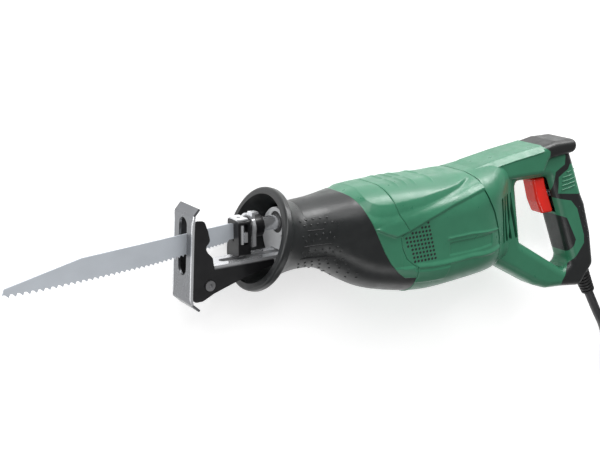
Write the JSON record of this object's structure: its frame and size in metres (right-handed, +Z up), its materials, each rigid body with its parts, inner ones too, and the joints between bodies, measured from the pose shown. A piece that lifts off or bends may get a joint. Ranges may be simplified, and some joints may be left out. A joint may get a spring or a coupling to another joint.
{
  "type": "reciprocating saw",
  "caption": "Corded reciprocating saw with toothed blade, pivoting shoe, bell-mouthed front grip and D-shaped rear handle.",
  "frame": {"origin": "centre of the bounding box on the bench under the saw, leaving out the cord", "axes": "+X from blade tip to handle, +Y towards the tool's top, +Z up from the bench, out of the tool's left side"},
  "size_m": [0.8497, 0.2612, 0.085],
  "materials": {
    "casing_green": "fine moulded grain, satin",
    "grip_rubber": "soft matt overmould",
    "boot_rubber": "matt",
    "cord_rubber": "matt rubber sheath",
    "trigger_red": "semi gloss",
    "black_plastic": "matt",
    "blade_steel": "ground satin",
    "chromed_steel": "bright plated",
    "shoe_steel": "dark satin coating",
    "black_steel": "black oxide",
    "case_aluminium": "as cast",
    "gear_steel": "hardened, oiled",
    "lamination": "stacked sheet",
    "copper": "enamelled wire",
    "brush_brass": "folded sheet",
    "carbon": "pressed carbon",
    "screw_steel": "zinc plated",
    "pin_nickel": "nickel plated",
    "lead_blue": "wire insulation"
  },
  "bodies": {
    "housing": {"front_grip": "grip_rubber", "front_cover": "casing_green", "motor_housing": "casing_green", "top_cap": "black_plastic", "thumb_rests": "casing_green", "rear_overmould": "grip_rubber", "grip_panel": "grip_rubber", "handle_shell_left": "casing_green", "handle_shell_right": "casing_green", "handle_screws": "screw_steel", "gear_case": "case_aluminium", "gear_case_cover": "case_aluminium", "gear_case_screws": "screw_steel", "spindle_bearings": "gear_steel", "nose_plate": "case_aluminium", "plunger_bushes": "brush_brass", "plunger_seal": "boot_rubber", "stator": "lamination", "field_coils": "copper", "motor_bearings": "gear_steel", "rear_bridge": "black_plastic", "brushes": "carbon", "brush_holders": "brush_brass", "brush_springs": "screw_steel", "support_screws": "screw_steel", "switch_body": "black_plastic", "cord_inner": "cord_rubber", "cord_clamp": "black_plastic", "cord_clamp_screws": "screw_steel", "leads": "lead_blue", "strain_relief": "boot_rubber", "cord": "cord_rubber", "cord_tail": "cord_rubber", "cord_coil": "cord_rubber", "coil_tie": "black_plastic", "plug_body": "boot_rubber", "plug_pins": "pin_nickel"},
    "plunger_group": {"plunger": "chromed_steel", "yoke": "gear_steel", "clamp_body": "black_steel", "clamp_cover": "chromed_steel", "clamp_pin": "chromed_steel", "clamp_wedge": "chromed_steel", "blade": "blade_steel"},
    "release_ring": {"release_ring": "chromed_steel"},
    "crank": {"crank_gear": "gear_steel", "crank_spindle": "gear_steel", "crank_pin": "gear_steel"},
    "armature": {"pinion": "gear_steel", "armature_shaft": "gear_steel", "armature_stack": "lamination", "armature_windings": "copper", "commutator": "copper", "fan": "black_plastic"},
    "support": {"support_bar": "chromed_steel", "shoe_bracket": "black_steel", "shoe_rivet": "screw_steel"},
    "shoe": {"shoe": "shoe_steel"},
    "trigger": {"trigger": "trigger_red", "trigger_spring": "screw_steel"}
  },
  "joints": [
    {"name": "plunger_slide", "type": "slide", "parent": "housing", "child": "plunger_group", "axis": [1, 0, 0], "range_m": [-0.01, 0.01]},
    {"name": "release_ring_turn", "type": "hinge", "parent": "plunger_group", "child": "release_ring", "pos_m": [-0.0975, 0.043, 0.0425], "axis": [1, 0, 0], "range_deg": [0, 60], "stiffness_Nm_per_rad": 0.05},
    {"name": "crank_spin", "type": "hinge", "parent": "housing", "child": "crank", "pos_m": [0.0085, 0.024, 0.0425], "axis": [0, 1, 0], "continuous": true},
    {"name": "armature_spin", "type": "hinge", "parent": "housing", "child": "armature", "pos_m": [0.0785, 0.0178, 0.0425], "axis": [1, 0, 0], "continuous": true},
    {"name": "support_slide", "type": "slide", "parent": "housing", "child": "support", "axis": [1, 0, 0], "range_m": [-0.005, 0.008]},
    {"name": "shoe_tilt", "type": "hinge", "parent": "support", "child": "shoe", "pos_m": [-0.1415, 0.0055, 0.0425], "axis": [0, 0, 1], "range_deg": [-15, 15]},
    {"name": "trigger_press", "type": "slide", "parent": "housing", "child": "trigger", "axis": [1, 0, 0], "range_m": [0, 0.006], "stiffness_N_per_m": 900}
  ],
  "couplings": [
    {"joint": "armature_spin", "follows": "crank_spin", "ratio": -5}
  ]
}
